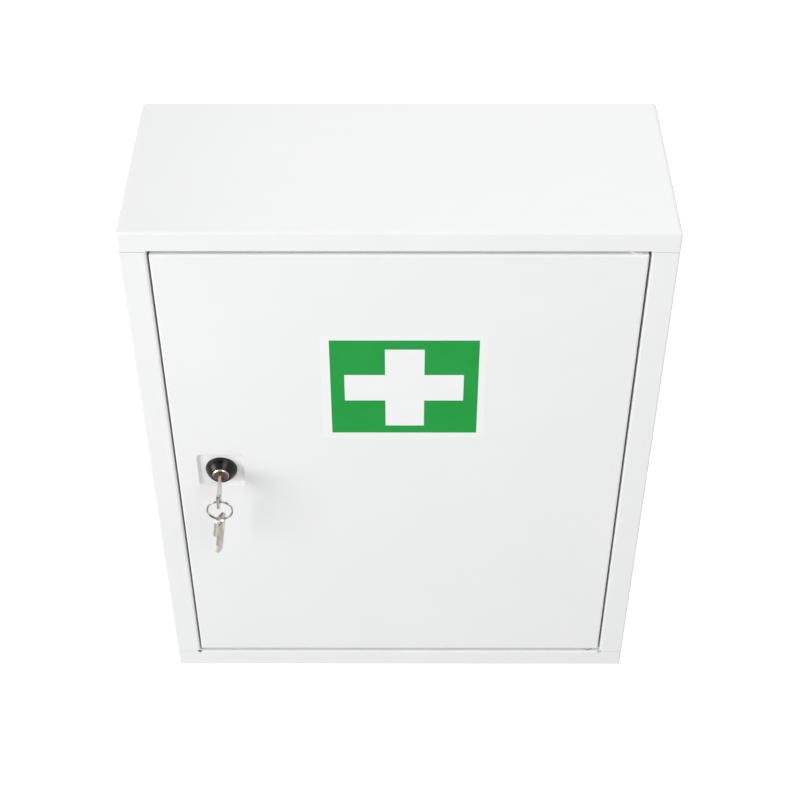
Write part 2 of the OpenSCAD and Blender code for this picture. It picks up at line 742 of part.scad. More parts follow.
module cam_screw() color(zinc) at_lock(cam_y + cam_t) difference() {
    union() {
        rod_y(cam_screw_head_d, 0, cam_screw_head_h);
        rod_y(cam_screw_d, -cam_screw_l, eps);
    }
    for (a = [0, 90]) rotate([0, a, 0]) slab_y(cam_screw_head_h - cross_d, cam_screw_head_h + past)
        square([cross_l, cross_w], center = true);
}

// ---- Keys ----

// Key outline: blade along +u, v across it. The bow's back edge is in line with the blade's
module key_outline() {
    tip = blade_h / 4;
    difference() {
        union() {
            translate([-neck_l - bow_l / 2, -bow_drop]) rounded_rect(bow_l, bow_h, bow_r);
            translate([-neck_l - bow_l / 4, -blade_h / 2])
                square([neck_l + bow_l / 4 + blade_l - tip, blade_h]);
            polygon([[blade_l - tip - eps, -blade_h / 2], [blade_l, -tip],
                     [blade_l, tip], [blade_l - tip - eps, blade_h / 2]]);
        }
        translate([hole_u, -bow_drop]) circle(d = bow_hole_d);
        // one cut at each wafer, of three depths, with 45 degree flanks
        for (i = [0 : wafer_count - 1]) {
            depth = cut_d * (1 + (2 * i) % 3) / 3;
            translate([wafer_y0 - key_y + wafer_t / 2 + i * wafer_pitch, -blade_h / 2])
                polygon([[-depth - cut_flat / 2 - eps, -eps], [-cut_flat / 2, depth],
                         [cut_flat / 2, depth], [depth + cut_flat / 2 + eps, -eps]]);
        }
    }
}

// Key in its own plane: u along +y, v along +z, thickness along x
module key_solid() {
    translate([-key_t / 2, 0, 0]) rotate([90, 0, 90]) linear_extrude(key_t) key_outline();
}

module key() color(nickel) at_lock(key_y) key_solid();

module split_ring() color(nickel) translate([lock_x, ring_y, ring_z]) rotate([90, 0, 0]) difference() {
    rotate_extrude($fn = 96) difference() {
        translate([ring_r - ring_t / 2, 0]) rounded_rect(ring_t, ring_t, ring_round);
        for (x = [ring_inner, ring_r]) translate([x, 0]) circle(r = ring_groove, $fn = 4);
    }
    // the wire's two ends, one on each side, a little apart
    for (s = [0, 1]) rotate([0, 0, ring_end_a + s * ring_end_step]) mirror([0, 0, s])
        translate([ring_inner - past, -ring_end_gap / 2, 0]) cube([ring_t + 2 * past, ring_end_gap, ring_t]);
}

// The spare key hangs by its hole from the ring, beside its lowest point
module spare_key() color(nickel) translate([wire_x, ring_y, wire_z])
    rotate([0, spare_lean, 0]) rotate([0, 0, -spare_turn]) translate([0, 0, spare_hang - bow_hole_d / 2])
        rotate([-90, 0, 0]) translate([0, -hole_u, bow_drop]) key_solid();

casing();
front_frame();
back_panel();
upper_pivot_plate();
lower_pivot_plate();
upper_hinge_pin();
lower_hinge_pin();
lower_hinge_washer();
left_front_standard();
left_rear_standard();
right_front_standard();
right_rear_standard();
lower_shelf();
upper_shelf();
lower_shelf_clips();
upper_shelf_clips();
door_buffers();
door_panel();
door_stiffener();
upper_hinge_bush();
lower_hinge_bush();
lock_housing();
lock_washer();
lock_nut();
lock_plug();
lock_wafers();
stop_washer();
cam();
cam_screw();
key();
split_ring();
spare_key();
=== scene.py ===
import math

import bmesh
import bpy
from mathutils import Matrix, Vector


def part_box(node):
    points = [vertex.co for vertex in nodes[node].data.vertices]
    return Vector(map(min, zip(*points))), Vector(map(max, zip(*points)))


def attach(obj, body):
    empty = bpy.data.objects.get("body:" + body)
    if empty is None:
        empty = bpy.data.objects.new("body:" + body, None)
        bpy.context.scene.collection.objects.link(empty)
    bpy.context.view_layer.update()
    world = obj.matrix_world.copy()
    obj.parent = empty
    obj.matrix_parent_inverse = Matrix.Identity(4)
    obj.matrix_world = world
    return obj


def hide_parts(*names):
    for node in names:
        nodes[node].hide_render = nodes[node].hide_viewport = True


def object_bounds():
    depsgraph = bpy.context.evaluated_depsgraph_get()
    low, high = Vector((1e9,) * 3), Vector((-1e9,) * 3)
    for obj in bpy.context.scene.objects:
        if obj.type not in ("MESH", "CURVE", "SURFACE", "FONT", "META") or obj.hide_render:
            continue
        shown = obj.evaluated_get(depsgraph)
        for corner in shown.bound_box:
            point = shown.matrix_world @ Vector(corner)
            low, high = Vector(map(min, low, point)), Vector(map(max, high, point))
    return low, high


# Lockable steel medicine cabinet: finishes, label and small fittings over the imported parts.
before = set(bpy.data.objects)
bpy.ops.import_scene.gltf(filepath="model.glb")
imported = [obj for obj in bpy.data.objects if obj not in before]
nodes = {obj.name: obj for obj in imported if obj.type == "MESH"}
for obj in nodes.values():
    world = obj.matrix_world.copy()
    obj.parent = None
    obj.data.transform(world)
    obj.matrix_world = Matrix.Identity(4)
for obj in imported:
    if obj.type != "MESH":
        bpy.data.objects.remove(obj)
cad_low, cad_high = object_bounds()

MM = 0.001


# ---- Camera ----

CAMERA_PLACE = (0.002798, -0.88771, 1.05174)
CAMERA_TILT = 0.74926    # below the horizon, radians
CAMERA_TURN = 0.00274    # to the left, radians
CAMERA_ROLL = -0.00124   # radians
CAMERA_SENSOR = 36       # mm wide
CAMERA_LENS = 72.03      # mm


def set_camera():
    """Puts the camera in front of the cabinet, looking down on it."""
    right = Vector((math.cos(CAMERA_TURN), math.sin(CAMERA_TURN), 0))
    forward = Vector((-math.sin(CAMERA_TURN) * math.cos(CAMERA_TILT),
                      math.cos(CAMERA_TURN) * math.cos(CAMERA_TILT),
                      -math.sin(CAMERA_TILT)))
    up = right.cross(forward)
    across = math.cos(CAMERA_ROLL) * right + math.sin(CAMERA_ROLL) * up
    upward = -math.sin(CAMERA_ROLL) * right + math.cos(CAMERA_ROLL) * up
    data = bpy.data.cameras.new("camera")
    data.sensor_width = CAMERA_SENSOR
    data.lens = CAMERA_LENS
    camera = bpy.data.objects.new("camera", data)
    bpy.context.scene.collection.objects.link(camera)
    place = Matrix((across, upward, -forward)).transposed().to_4x4()
    place.translation = CAMERA_PLACE
    camera.matrix_world = place
    bpy.context.scene.camera = camera


# ---- Shader nodes ----

def put(tree, kind, feeds=None, **settings):
    """Adds a shader node.

    settings are its own properties; feeds gives its inputs a value or another node's socket.
    """
    made = tree.nodes.new(kind)
    for key, value in settings.items():
        setattr(made, key, value)
    for key, value in (feeds or {}).items():
        if isinstance(value, bpy.types.NodeSocket):
            tree.links.new(value, made.inputs[key])
        else:
            made.inputs[key].default_value = value
    return made


def arithmetic(tree, operation, first, second=None, clamp=False):
    """A Math node's result socket."""
    feeds = {0: first} if second is None else {0: first, 1: second}
    return put(tree, "ShaderNodeMath", feeds, operation=operation, use_clamp=clamp).outputs[0]


def spread(tree, value, low, high, new_low=0.0, new_high=1.0):
    """Maps a value from one range to another, held at the ends."""
    feeds = {"Value": value, "From Min": low, "From Max": high, "To Min": new_low, "To Max": new_high}
    return put(tree, "ShaderNodeMapRange", feeds).outputs["Result"]


def shader_group(name, inputs, outputs):
    """A new node group with its input and output nodes.

    Inputs are pairs of a name and a default; outputs are the names of the values it gives.
    """
    group = bpy.data.node_groups.new(name, "ShaderNodeTree")
    for label, value in inputs:
        kind = "NodeSocketVector" if isinstance(value, tuple) else "NodeSocketFloat"
        group.interface.new_socket(name=label, in_out="INPUT", socket_type=kind).default_value = value
    for label in outputs:
        group.interface.new_socket(name=label, in_out="OUTPUT", socket_type="NodeSocketFloat")
    return group, put(group, "NodeGroupInput"), put(group, "NodeGroupOutput")


def noise(tree, place, scale, detail=2.0, roughness=0.5):
    """A noise texture's value socket."""
    feeds = {"Vector": place, "Scale": scale, "Detail": detail, "Roughness": roughness}
    return put(tree, "ShaderNodeTexNoise", feeds).outputs["Fac"]


def object_place(tree):
    """Where a point is on its own piece, in metres."""
    return put(tree, "ShaderNodeTexCoord").outputs["Object"]


FINE_PEEL_SCALE = 3.1    # times the coarse peel's
FINE_PEEL_SHARE = 0.3    # of the coarse peel's height
EDGE_NONE, EDGE_FULL = 0.995, 0.80       # how nearly a rounded normal agrees with the true one
STREAK_SCALE = 0.22      # times the lines'
BLOOM_SCALE = 0.2        # times the cells'
LEVEL_FROM, LEVEL_FULL = 0.5, 1.0        # upward part of the normal where dust settles


def make_powder_skin():
    """Orange peel of a powder coat, with slow cloudy mottling."""
    group, into, out = shader_group(
        "powder_skin", [("Peel Scale", 900.0), ("Cloud Scale", 9.0)], ["Peel", "Cloud"])
    place = object_place(group)
    coarse = noise(group, place, into.outputs["Peel Scale"], detail=1.5, roughness=0.45)
    fine_scale = arithmetic(group, "MULTIPLY", into.outputs["Peel Scale"], FINE_PEEL_SCALE)
    fine = arithmetic(group, "MULTIPLY", noise(group, place, fine_scale), FINE_PEEL_SHARE)
    group.links.new(arithmetic(group, "ADD", fine, coarse), out.inputs["Peel"])
    cloud = noise(group, place, into.outputs["Cloud Scale"], detail=3.0, roughness=0.6)
    group.links.new(spread(group, cloud, low=0.3, high=0.7), out.inputs["Cloud"])
    return group


def make_edge_wear():
    """A mask of rubbed edges, broken up by noise."""
    group, into, out = shader_group(
        "edge_wear", [("Reach", 0.6 * MM), ("Break Scale", 400.0), ("Strength", 1.0)], ["Mask"])
    rounded = put(group, "ShaderNodeBevel", {"Radius": into.outputs["Reach"]}, samples=4)
    true = put(group, "ShaderNodeNewGeometry")
    match = put(group, "ShaderNodeVectorMath", {0: rounded.outputs[0], 1: true.outputs["Normal"]},
                operation="DOT_PRODUCT").outputs["Value"]
    edge = spread(group, match, EDGE_NONE, EDGE_FULL)
    grain = noise(group, object_place(group), into.outputs["Break Scale"], detail=4.0, roughness=0.65)
    broken = arithmetic(group, "MULTIPLY", edge, spread(group, grain, low=0.38, high=0.62))
    mask = arithmetic(group, "MULTIPLY", broken, into.outputs["Strength"], clamp=True)
    group.links.new(mask, out.inputs["Mask"])
    return group


def make_brushed_grain():
    """Fine parallel lines left by rolling, turning or tumbling, drawn out along one axis."""
    group, into, out = shader_group(
        "brushed_grain", [("Stretch", (1.0, 1.0, 1.0)), ("Line Scale", 1500.0)], ["Line", "Streak"])
    stretched = put(group, "ShaderNodeVectorMath", {0: object_place(group), 1: into.outputs["Stretch"]},
                    operation="MULTIPLY").outputs["Vector"]
    line = noise(group, stretched, into.outputs["Line Scale"], detail=3.0, roughness=0.6)
    streak_scale = arithmetic(group, "MULTIPLY", into.outputs["Line Scale"], STREAK_SCALE)
    streak = noise(group, stretched, streak_scale)
    group.links.new(line, out.inputs["Line"])
    group.links.new(spread(group, streak, low=0.35, high=0.65), out.inputs["Streak"])
    return group


def make_plating_bloom():
    """Small cells of slightly different brightness, as on zinc plate."""
    group, into, out = shader_group("plating_bloom", [("Cell Scale", 700.0)], ["Cell", "Cloud"])
    place = object_place(group)
    cell = put(group, "ShaderNodeTexVoronoi", {"Vector": place, "Scale": into.outputs["Cell Scale"]},
               feature="SMOOTH_F1")
    cloud_scale = arithmetic(group, "MULTIPLY", into.outputs["Cell Scale"], BLOOM_SCALE)
    cloud = noise(group, place, cloud_scale, detail=4.0, roughness=0.6)
    group.links.new(spread(group, cell.outputs["Distance"], low=0.0, high=0.8), out.inputs["Cell"])
    group.links.new(spread(group, cloud, low=0.3, high=0.7), out.inputs["Cloud"])
    return group


def make_settled_dust():
    """A thin uneven film on what faces up."""
    group, into, out = shader_group("settled_dust", [("Patch Scale", 26.0), ("Amount", 0.3)], ["Mask"])
    normal = put(group, "ShaderNodeNewGeometry").outputs["Normal"]
    facing = put(group, "ShaderNodeSeparateXYZ", {0: normal})
    upward = spread(group, facing.outputs["Z"], LEVEL_FROM, LEVEL_FULL)
    patch = noise(group, object_place(group), into.outputs["Patch Scale"], detail=5.0, roughness=0.65)
    film = arithmetic(group, "MULTIPLY", upward, spread(group, patch, low=0.35, high=0.8))
    group.links.new(arithmetic(group, "MULTIPLY", film, into.outputs["Amount"]), out.inputs["Mask"])
    return group


powder_skin = make_powder_skin()
edge_wear = make_edge_wear()
brushed_grain = make_brushed_grain()
plating_bloom = make_plating_bloom()
settled_dust = make_settled_dust()


# ---- Materials ----

def new_finish(name, **constants):
    """A material with a Principled shader whose constants are set on its own sockets."""
    material = bpy.data.materials.new(name)
    material.use_nodes = True
    tree = material.node_tree
    shader = tree.nodes["Principled BSDF"]
    for key, value in constants.items():
        shader.inputs[key.replace("_", " ")].default_value = value
    return material, tree, shader


def use_group(tree, group, **values):
    """Places a shader group in a material with its own values."""
    made = put(tree, "ShaderNodeGroup", node_tree=group)
    for key, value in values.items():
        made.inputs[key.replace("_", " ")].default_value = value
    return made.outputs


def blended_colour(tree, factor, first, second):
    """One colour run into another by a mask; each is a plain colour or a socket."""
    made = put(tree, "ShaderNodeMix", data_type="RGBA")
    tree.links.new(factor, made.inputs["Factor"])
    for socket, colour in ((made.inputs[6], first), (made.inputs[7], second)):
        if isinstance(colour, bpy.types.NodeSocket):
            tree.links.new(colour, socket)
        else:
            socket.default_value = (*colour, 1)
    return made.outputs[2]


def colour_and_gloss(tree, shader, colour, mask, roughness, duller_by):
    """Feeds the shader a colour, and a roughness that grows with a mask."""
    tree.links.new(colour, shader.inputs["Base Color"])
    dulled = spread(tree, mask, 0, 1, roughness, roughness + duller_by)
    tree.links.new(dulled, shader.inputs["Roughness"])


def bump(tree, shader, height, depth, strength):
    """Feeds a height mask, depth metres deep, to the shader's normal."""
    made = put(tree, "ShaderNodeBump", {"Height": height, "Distance": depth, "Strength": strength})
    tree.links.new(made.outputs["Normal"], shader.inputs["Normal"])


def brightened(colour, gain, lift):
    """A metal's colour where its plate is rubbed bright."""
    return tuple(min(0.95, gain * c + lift) for c in colour)


COAT_SHADE = (0.862, 0.868, 0.872)
COAT_WHITE = (0.880, 0.884, 0.886)
SETTLED_DUST = (0.80, 0.79, 0.765)
LACQUER_BLACK = (0.003, 0.003, 0.0032)
LACQUER_STREAK = (0.009, 0.0085, 0.008)
LACQUER_RUBBED = (0.16, 0.15, 0.14)


def white_coat_finish():
    """Smooth white powder coat on steel."""
    material, tree, shader = new_finish("white_coat", IOR=1.5, Coat_Weight=0.12, Coat_Roughness=0.18)
    skin = use_group(tree, powder_skin, Peel_Scale=850, Cloud_Scale=11)
    dust = use_group(tree, settled_dust, Patch_Scale=24, Amount=0.05)
    clouded = blended_colour(tree, skin["Cloud"], COAT_SHADE, COAT_WHITE)
    dusted = blended_colour(tree, dust["Mask"], clouded, SETTLED_DUST)
    colour_and_gloss(tree, shader, dusted, skin["Cloud"], roughness=0.36, duller_by=0.08)
    bump(tree, shader, skin["Peel"], depth=0.03 * MM, strength=0.5)
    return material


def plated_finish(name, colour, cloud_colour, roughness, cell_scale):
    """Zinc or nickel plate in a given colour: bright, or darkened on the lock's plug as painted shade.
    """
    material, tree, shader = new_finish(name, Metallic=1.0)
    bloom = use_group(tree, plating_bloom, Cell_Scale=cell_scale)
    wear = use_group(tree, edge_wear, Reach=0.4 * MM, Break_Scale=700, Strength=0.7)
    tone = blended_colour(tree, bloom["Cloud"], colour, cloud_colour)
    worn = blended_colour(tree, wear["Mask"], tone, brightened(colour, gain=1.2, lift=0.05))
    colour_and_gloss(tree, shader, worn, bloom["Cloud"], roughness, duller_by=0.14)
    bump(tree, shader, bloom["Cell"], depth=0.02 * MM, strength=0.4)
    return material


def brushed_finish(name, colour, streak_and_reflection_colour, stretch, roughness, line_scale, rubbed=None):
    """Metal with a drawn-out grain and rubbed edges; on the split ring the grain's dark colour is
    painted dark reflection.
    """
    material, tree, shader = new_finish(name, Metallic=1.0)
    grain = use_group(tree, brushed_grain, Stretch=stretch, Line_Scale=line_scale)
    wear = use_group(tree, edge_wear, Reach=0.45 * MM, Break_Scale=900, Strength=0.9)
    tone = blended_colour(tree, grain["Streak"], colour, streak_and_reflection_colour)
    bright = rubbed or brightened(colour, gain=1.25, lift=0.06)
    worn = blended_colour(tree, wear["Mask"], tone, bright)
    colour_and_gloss(tree, shader, worn, grain["Streak"], roughness, duller_by=0.16)
    bump(tree, shader, grain["Line"], depth=0.02 * MM, strength=0.5)
    return material


def black_lacquer_finish():
    """Black stoved lacquer on the lock, turned lines showing through."""
    material, tree, shader = new_finish(
        "black_lacquer", Specular_IOR_Level=0.38, Anisotropic=0.85, Anisotropic_Rotation=0.25)
    turned = put(tree, "ShaderNodeTangent", direction_type="RADIAL", axis="Y").outputs["Tangent"]
    tree.links.new(turned, shader.inputs["Tangent"])
    grain = use_group(tree, brushed_grain, Stretch=(0.9, 9.0, 0.9), Line_Scale=420)
    wear = use_group(tree, edge_wear, Reach=0.5 * MM, Break_Scale=800, Strength=0.35)
    tone = blended_colour(tree, grain["Streak"], LACQUER_BLACK, LACQUER_STREAK)
    worn = blended_colour(tree, wear["Mask"], tone, LACQUER_RUBBED)
    colour_and_gloss(tree, shader, worn, grain["Streak"], roughness=0.20, duller_by=0.10)
    bump(tree, shader, grain["Line"], depth=0.01 * MM, strength=0.4)
    return material


def moulded_finish(name, colour, cloud_colour, roughness, peel_scale, depth):
    """Moulded nylon or rubber with a fine matt grain."""
    material, tree, shader = new_finish(name, IOR=1.5)
    skin = use_group(tree, powder_skin, Peel_Scale=peel_scale, Cloud_Scale=60)
    clouded = blended_colour(tree, skin["Cloud"], colour, cloud_colour)
    colour_and_gloss(tree, shader, clouded, skin["Cloud"], roughness, duller_by=0.12)
    bump(tree, shader, skin["Peel"], depth, strength=0.6)
    return material


def film_finish(name, colour, cloud_colour, roughness, specular):
    """Printed vinyl film."""
    material, tree, shader = new_finish(name, IOR=1.46, Specular_IOR_Level=specular)
    skin = use_group(tree, powder_skin, Peel_Scale=420, Cloud_Scale=35)
    clouded = blended_colour(tree, skin["Cloud"], colour, cloud_colour)
    colour_and_gloss(tree, shader, clouded, skin["Cloud"], roughness, duller_by=0.1)
    bump(tree, shader, skin["Peel"], depth=0.02 * MM, strength=0.35)
    return material


set_camera()

white_coat = white_coat_finish()
zinc_plate = plated_finish(
    "zinc_plate", colour=(0.62, 0.64, 0.66), cloud_colour=(0.50, 0.52, 0.54),
    roughness=0.24, cell_scale=650)
# The plug's nickel, its colour painted dark brown: painted shade and painted dark reflection on the
# plug and the cap's face.
warm_nickel = plated_finish(
    "warm_nickel", colour=(0.26, 0.19, 0.155), cloud_colour=(0.16, 0.12, 0.10),
    roughness=0.24, cell_scale=900)
rim_nickel = plated_finish(
    "rim_nickel", colour=(0.68, 0.64, 0.56), cloud_colour=(0.56, 0.52, 0.45),
    roughness=0.27, cell_scale=900)
key_nickel = brushed_finish(
    "key_nickel", colour=(0.70, 0.665, 0.59), streak_and_reflection_colour=(0.49, 0.46, 0.39),
    stretch=(1.0, 0.12, 0.12), roughness=0.22, line_scale=1500, rubbed=(0.94, 0.92, 0.86))
# The split ring's steel colour runs in patches down to near black: painted dark reflections on the
# ring.
ring_steel = brushed_finish(
    "ring_steel", colour=(0.80, 0.79, 0.75), streak_and_reflection_colour=(0.17, 0.165, 0.155),
    stretch=(1.0, 1.0, 1.0), roughness=0.16, line_scale=900)
wafer_brass = brushed_finish(
    "wafer_brass", colour=(0.72, 0.54, 0.25), streak_and_reflection_colour=(0.55, 0.40, 0.17),
    stretch=(0.2, 1.0, 0.2), roughness=0.3, line_scale=1500)
black_lacquer = black_lacquer_finish()
nylon = moulded_finish(
    "nylon", colour=(0.76, 0.75, 0.70), cloud_colour=(0.82, 0.81, 0.77),
    roughness=0.42, peel_scale=700, depth=0.03 * MM)
buffer_rubber = moulded_finish(
    "buffer_rubber", colour=(0.030, 0.030, 0.031), cloud_colour=(0.05, 0.049, 0.048),
    roughness=0.62, peel_scale=1100, depth=0.05 * MM)
label_white = film_finish(
    "label_white", colour=(0.885, 0.890, 0.892), cloud_colour=(0.90, 0.905, 0.905),
    roughness=0.30, specular=0.5)
label_green = film_finish(
    "label_green", colour=(0.012, 0.325, 0.050), cloud_colour=(0.018, 0.345, 0.060),
    roughness=0.42, specular=0.2)

FINISHES = {
    white_coat: ["casing", "front_frame", "back_panel", "upper_pivot_plate", "lower_pivot_plate",
                 "left_front_standard", "left_rear_standard", "right_front_standard",
                 "right_rear_standard", "lower_shelf", "upper_shelf", "door_panel", "door_stiffener"],
    zinc_plate: ["upper_hinge_pin", "lower_hinge_pin", "lower_hinge_washer", "lower_shelf_clips",
                 "upper_shelf_clips", "lock_washer", "lock_nut", "stop_washer", "cam", "cam_screw"],
    black_lacquer: ["lock_housing"],
    # The lock's plug in nickel painted dark: painted shade and painted dark reflection.
    warm_nickel: ["lock_plug"],
    wafer_brass: ["lock_wafers"],
    key_nickel: ["key", "spare_key"],
    ring_steel: ["split_ring"],
    nylon: ["upper_hinge_bush", "lower_hinge_bush"],
    buffer_rubber: ["door_buffers"],
}
for finish, names in FINISHES.items():
    for name in names:
        for place in nodes[name].material_slots:
            place.material = finish


# ---- Mesh helpers ----

def new_piece(name, mesh, body, slot, *materials):
    """Adds a finished mesh to the scene as a piece that rides on a body."""
    data = bpy.data.meshes.new(name)
    bmesh.ops.recalc_face_normals(mesh, faces=mesh.faces)
    mesh.to_mesh(data)
    mesh.free()
    for material in materials:
        data.materials.append(material)
    piece = bpy.data.objects.new(name, data)
    bpy.context.scene.collection.objects.link(piece)
    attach(piece, body)
    return piece


def plate_from_outline(outline, y_back, y_front):
    """A flat plate: an outline of (x, z) points, carried from one y to another."""
    mesh = bmesh.new()
    back = [mesh.verts.new((x, y_back, z)) for x, z in outline]
    front = [mesh.verts.new((x, y_front, z)) for x, z in outline]
    mesh.faces.new(back)
    mesh.faces.new(reversed(front))
    for i in range(len(outline)):
        j = (i + 1) % len(outline)
        mesh.faces.new((back[i], back[j], front[j], front[i]))
    return mesh


def rounded_corners(x0, x1, z0, z1, radius, steps):
    """Outline of a rectangle with rounded corners, each in a number of steps."""
    outline = []
    corners = ((x1, z1, 0), (x0, z1, 90), (x0, z0, 180), (x1, z0, 270))
    for x, z, start in corners:
        cx = x - radius if x == x1 else x + radius
        cz = z - radius if z == z1 else z + radius
        for step in range(steps + 1):
            a = math.radians(start + 90 * step / steps)
            outline.append((cx + radius * math.cos(a), cz + radius * math.sin(a)))
    return outline


# ---- First-aid label ----

DOOR_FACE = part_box("door_panel")[0].y
FILM_T = 0.15 * MM
FILM_CORNER = 1.2 * MM
INK_T = 0.03 * MM
FILM = (-53.5 * MM, 60.0 * MM, 259.5 * MM, 354.0 * MM)       # x0, x1, z0, z1
GREEN = (-47.2 * MM, 54.3 * MM, 264.5 * MM, 350.3 * MM)
CROSS_UPRIGHT = (-9.6 * MM, 17.3 * MM, 271.4 * MM, 342.2 * MM)
CROSS_BAR = (-37.6 * MM, 44.3 * MM, 295.4 * MM, 319.2 * MM)


def inside(box, x, z):
    """Whether a point lies in an (x0, x1, z0, z1) box."""
    return box[0] < x < box[1] and box[2] < z < box[3]


def make_label():
    """A white vinyl film stuck on the door, with a green field printed round a white cross."""
    outline = rounded_corners(*FILM, FILM_CORNER, steps=6)
    film = plate_from_outline(outline, DOOR_FACE, DOOR_FACE - FILM_T)
    new_piece("label_film", film, "door", None, label_white)

    across = sorted({*GREEN[:2], *CROSS_UPRIGHT[:2], *CROSS_BAR[:2]})
    upward = sorted({*GREEN[2:], *CROSS_UPRIGHT[2:], *CROSS_BAR[2:]})
    printed = set()
    for i in range(len(across) - 1):
        for k in range(len(upward) - 1):
            x, z = (across[i] + across[i + 1]) / 2, (upward[k] + upward[k + 1]) / 2
            if not (inside(CROSS_UPRIGHT, x, z) or inside(CROSS_BAR, x, z)):
                printed.add((i, k))
    mesh = bmesh.new()
    back, front = [{(i, k): mesh.verts.new((x, y, z))
                    for i, x in enumerate(across) for k, z in enumerate(upward)}
                   for y in (DOOR_FACE - FILM_T, DOOR_FACE - FILM_T - INK_T)]
    for i, k in sorted(printed):
        loop = [(i, k), (i + 1, k), (i + 1, k + 1), (i, k + 1)]
        beside = [(i, k - 1), (i + 1, k), (i, k + 1), (i - 1, k)]
        mesh.faces.new([back[p] for p in loop])
        mesh.faces.new([front[p] for p in reversed(loop)])
        for one, two, neighbour in zip(loop, loop[1:] + loop[:1], beside):
            if neighbour not in printed:
                mesh.faces.new((back[two], back[one], front[one], front[two]))
    new_piece("label_green_print", mesh, "door", None, label_green)


make_label()


# ---- Split ring, barrel thread, weld marks and plug cap ----

def sweep(mesh, section, stations):
    """Joins copies of a closed section, one at each station, and closes both ends.

    A station is a centre, a direction across and a direction upward.
    """
    loops = [[mesh.verts.new(centre + u * across + v * upward) for u, v in section]
             for centre, across, upward in stations]
    for one, two in zip(loops, loops[1:]):
        for i in range(len(section)):
            j = (i + 1) % len(section)
            mesh.faces.new((one[i], one[j], two[j], two[i])).smooth = True
    mesh.faces.new(reversed(loops[0]))
    mesh.faces.new(loops[-1])


ALONG_Y = Vector((0, 1, 0))
WIRE_GAP = 0.03 * MM                     # between the ring's two turns
WIRE_EDGE = 0.2 * MM                     # rounding of the wire's edges
WIRE_START = 40                          # where the wire begins, degrees round the ring
WIRE_CROSSING = 16                       # degrees in which it passes from turn to turn
WIRE_STEP = 4                            # degrees between two sections


def make_split_ring():
    """Two turns of flattened spring wire, which crosses from the rear turn to the front one."""
    low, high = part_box("split_ring")
    middle = (low + high) / 2
    width = high.y - low.y
    radius = (high.x - low.x - width) / 2
    flat = width / 2 - WIRE_GAP
    section = rounded_corners(-width / 2, width / 2, -flat / 2, flat / 2, WIRE_EDGE, steps=3)
    stations = []
    for step in range(0, 2 * 360 - WIRE_CROSSING + 1, WIRE_STEP):
        a = math.radians(WIRE_START + step)
        climb = min(1, max(0, (step - 360 + WIRE_CROSSING) / WIRE_CROSSING))
        climb = climb * climb * (3 - 2 * climb)
        outward = Vector((math.cos(a), 0, math.sin(a)))
        place = middle + radius * outward + width / 4 * (1 - 2 * climb) * ALONG_Y
        stations.append((place, outward, ALONG_Y))
    mesh = bmesh.new()
    sweep(mesh, section, stations)
    piece = new_piece("split_ring_wire", mesh, "ring", "ring_steel", ring_steel)
    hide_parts("split_ring")


BARREL_R = 9.0 * MM
BARREL_FLAT = 7.8 * MM                   # from the axis to each flat
THREAD_PITCH = 1.25 * MM
THREAD_RISE = 0.28 * MM
THREAD_SINK = 0.05 * MM                  # how deep the ridge's foot lies in the barrel
THREAD_FOOT = 0.42 * THREAD_PITCH        # half its width at the foot
THREAD_CREST = 0.12 * THREAD_FOOT        # half its width at the crest
THREAD_LEAD = 0.9 * MM                   # plain length behind the nut
THREAD_TAIL = 2.9 * MM                   # plain length at the barrel's end
THREAD_STEPS = 12                        # along each side's arc


def make_barrel_thread():
    """Thread ridges on the lock's barrel behind its nut, broken by the barrel's two flats."""
    low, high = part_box("lock_housing")
    axis = Vector(((low.x + high.x) / 2, 0, (low.z + high.z) / 2))
    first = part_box("lock_nut")[1].y + THREAD_LEAD
    last = high.y - THREAD_TAIL
    section = [(-THREAD_SINK, -THREAD_FOOT), (THREAD_RISE, -THREAD_CREST),
               (THREAD_RISE, THREAD_CREST), (-THREAD_SINK, THREAD_FOOT)]
    edge = math.degrees(math.acos(BARREL_FLAT / (BARREL_R + THREAD_RISE)))
    mesh = bmesh.new()
    for turn in range(int((last - first) / THREAD_PITCH)):
        for side in (0, 180):
            stations = []
            for step in range(THREAD_STEPS + 1):
                a = side + edge + (180 - 2 * edge) * step / THREAD_STEPS
                outward = Vector((math.cos(math.radians(a)), 0, math.sin(math.radians(a))))
                along = (first + (turn + a / 360) * THREAD_PITCH) * ALONG_Y
                stations.append((axis + along + BARREL_R * outward, outward, ALONG_Y))
            sweep(mesh, section, stations)
    new_piece("barrel_thread", mesh, "door", "black_lacquer", black_lacquer)


WELD_ROWS = 6
WELD_SIDES = 24
WELD_INSET = 6 * MM                      # from the stiffener's edges
WELD_PROFILE = [(2.7 * MM, -0.05 * MM),  # radius, height over the flange
                (2.2 * MM, 0.13 * MM),
                (1.7 * MM, 0.03 * MM),
                (0.6 * MM, 0.0)]
STIFFENER_SHEET = 1.0 * MM


def make_weld_marks():
    """Spot-weld dimples down both flanges of the door's stiffener."""
    low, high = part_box("door_stiffener")
    flange_y = low.y + STIFFENER_SHEET
    angles = [math.tau * k / WELD_SIDES for k in range(WELD_SIDES)]
    mesh = bmesh.new()
    for x in (low.x + WELD_INSET, high.x - WELD_INSET):
        for row in range(WELD_ROWS):
            z = low.z + (high.z - low.z) * (row + 0.5) / WELD_ROWS
            rings = [[mesh.verts.new((x + r * math.cos(a), flange_y + rise, z + r * math.sin(a)))
                      for a in angles] for r, rise in WELD_PROFILE]
            for one, two in zip(rings, rings[1:]):
                for k in range(WELD_SIDES):
                    mesh.faces.new((one[k], one[k - 1], two[k - 1], two[k])).smooth = True
            mesh.faces.new(rings[-1]).smooth = True
            mesh.faces.new(reversed(rings[0]))
    new_piece("stiffener_weld_marks", mesh, "door", "white_coat", white_coat)


